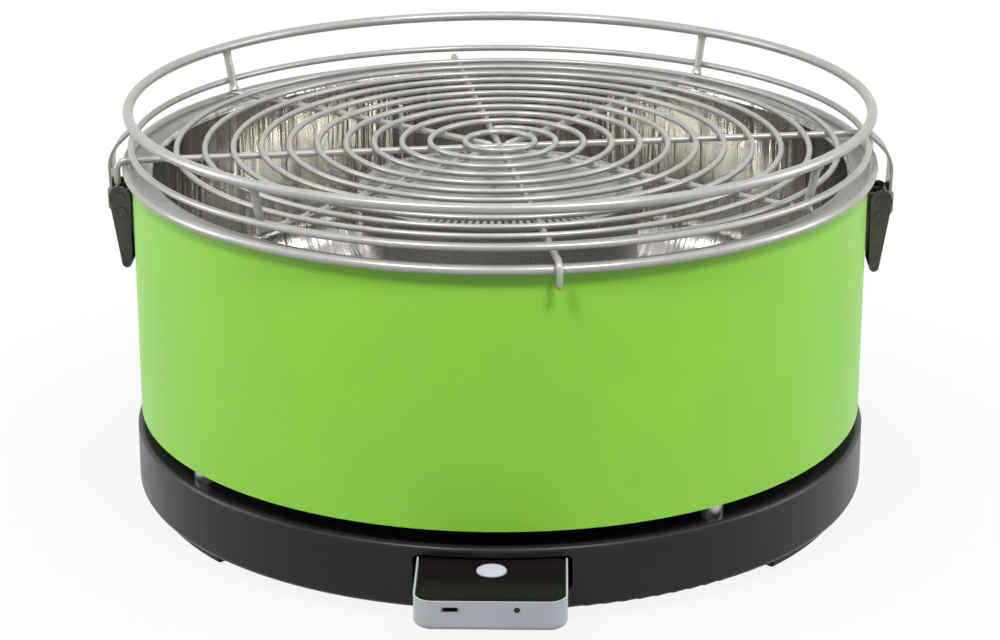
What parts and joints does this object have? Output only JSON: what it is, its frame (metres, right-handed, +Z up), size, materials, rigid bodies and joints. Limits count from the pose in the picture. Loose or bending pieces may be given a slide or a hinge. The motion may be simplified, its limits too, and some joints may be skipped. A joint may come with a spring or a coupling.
{
  "type": "table-top charcoal grill",
  "caption": "Round table-top charcoal grill: fan-blown base, painted drum, steel bowl with coal basket, spiral wire grate under a guard ring, side latches and a pull-out power pack.",
  "frame": {"origin": "point on the table under the middle of the drum, level with the undersides of the feet", "axes": "+Z up along the drum's axis, -Y to the front where the power pack sits, +X to the right-hand latch"},
  "size_m": [0.354, 0.3778, 0.1818],
  "materials": {
    "foot_rubber": "matte",
    "base_plastic": "fine texture",
    "fan_plastic": "moulded",
    "fastener_steel": "zinc plated",
    "drum_paint": "satin",
    "sheet_steel": "rolled",
    "bowl_steel": "polished",
    "wire_steel": "drawn and polished",
    "latch_dark": "dark satin",
    "strap_steel": "spring steel",
    "pack_silver": "silver lacquer",
    "pack_gloss": "gloss",
    "button_white": "satin",
    "board_green": "solder mask",
    "led_lens": "clear dark lens",
    "cell_wrap": "shrink wrap",
    "contact_brass": "bright"
  },
  "bodies": {
    "housing": {"rubber_feet": "foot_rubber", "base_tray": "base_plastic", "base_deck": "base_plastic", "deck_screws": "fastener_steel", "drum_spacers": "fastener_steel", "drum_studs": "fastener_steel", "drum_nuts": "fastener_steel", "drum": "drum_paint", "drum_floor": "drum_paint", "air_tube": "sheet_steel", "fan_frame": "fan_plastic", "fan_screws": "fastener_steel", "fan_motor": "fastener_steel", "bowl": "bowl_steel", "basket_shell": "sheet_steel", "basket_grid": "sheet_steel", "ignition_tray": "sheet_steel", "bracket_rivets": "latch_dark", "right_bracket": "latch_dark", "left_bracket": "latch_dark", "right_pivot_pin": "latch_dark", "left_pivot_pin": "latch_dark", "power_contacts": "base_plastic"},
    "grate": {"grate_spokes": "wire_steel", "grate_hooks": "wire_steel", "grate_centre_ring": "wire_steel", "grate_outer_ring": "wire_steel", "grate_spiral": "wire_steel", "guard_ring": "wire_steel", "guard_posts": "wire_steel"},
    "right_lever": {"right_lever": "latch_dark", "right_strap_pin": "latch_dark"},
    "right_strap": {"right_strap": "strap_steel"},
    "left_lever": {"left_lever": "latch_dark", "left_strap_pin": "latch_dark"},
    "left_strap": {"left_strap": "strap_steel"},
    "fan_rotor": {"fan_impeller": "fan_plastic", "fan_shaft": "fastener_steel"},
    "basket_lid": {"basket_lid": "bowl_steel"},
    "power_module": {"module_tray": "pack_silver", "module_cover": "pack_gloss", "module_screws": "fastener_steel", "circuit_board": "board_green", "board_standoffs": "pack_silver", "button_switch": "pack_gloss", "usb_port": "fastener_steel", "status_led": "led_lens", "battery_cell": "cell_wrap", "module_contacts": "contact_brass"},
    "power_button": {"power_button": "button_white"}
  },
  "joints": [
    {"name": "grate_lift", "type": "slide", "parent": "housing", "child": "grate", "axis": [0, 0, 1], "range_m": [0, 0.04]},
    {"name": "right_lever_hinge", "type": "hinge", "parent": "housing", "child": "right_lever", "pos_m": [0.1716, 0, 0.136], "axis": [0, -1, 0], "range_deg": [0, 50]},
    {"name": "right_strap_hinge", "type": "hinge", "parent": "right_lever", "child": "right_strap", "pos_m": [0.1709, 0, 0.129], "axis": [0, 1, 0], "range_deg": [0, 135]},
    {"name": "left_lever_hinge", "type": "hinge", "parent": "housing", "child": "left_lever", "pos_m": [-0.1716, 0, 0.136], "axis": [0, 1, 0], "range_deg": [0, 50]},
    {"name": "left_strap_hinge", "type": "hinge", "parent": "left_lever", "child": "left_strap", "pos_m": [-0.1709, 0, 0.129], "axis": [0, -1, 0], "range_deg": [0, 135]},
    {"name": "fan_spin", "type": "hinge", "parent": "housing", "child": "fan_rotor", "pos_m": [0, 0, 0.02], "axis": [0, 0, 1], "continuous": true},
    {"name": "lid_lift", "type": "slide", "parent": "housing", "child": "basket_lid", "axis": [0, 0, 1], "range_m": [0, 0.01]},
    {"name": "module_slide", "type": "slide", "parent": "housing", "child": "power_module", "axis": [0, -1, 0], "range_m": [0, 0.075]},
    {"name": "button_press", "type": "slide", "parent": "power_module", "child": "power_button", "axis": [0, 0, -1], "range_m": [0, 0.0008], "stiffness_N_per_m": 500}
  ],
  "couplings": [
    {"joint": "right_lever_hinge", "follows": "grate_lift", "rad_per_m": 21.816},
    {"joint": "right_strap_hinge", "follows": "grate_lift", "rad_per_m": 58.9},
    {"joint": "left_lever_hinge", "follows": "grate_lift", "rad_per_m": 21.816},
    {"joint": "left_strap_hinge", "follows": "grate_lift", "rad_per_m": 58.9}
  ]
}
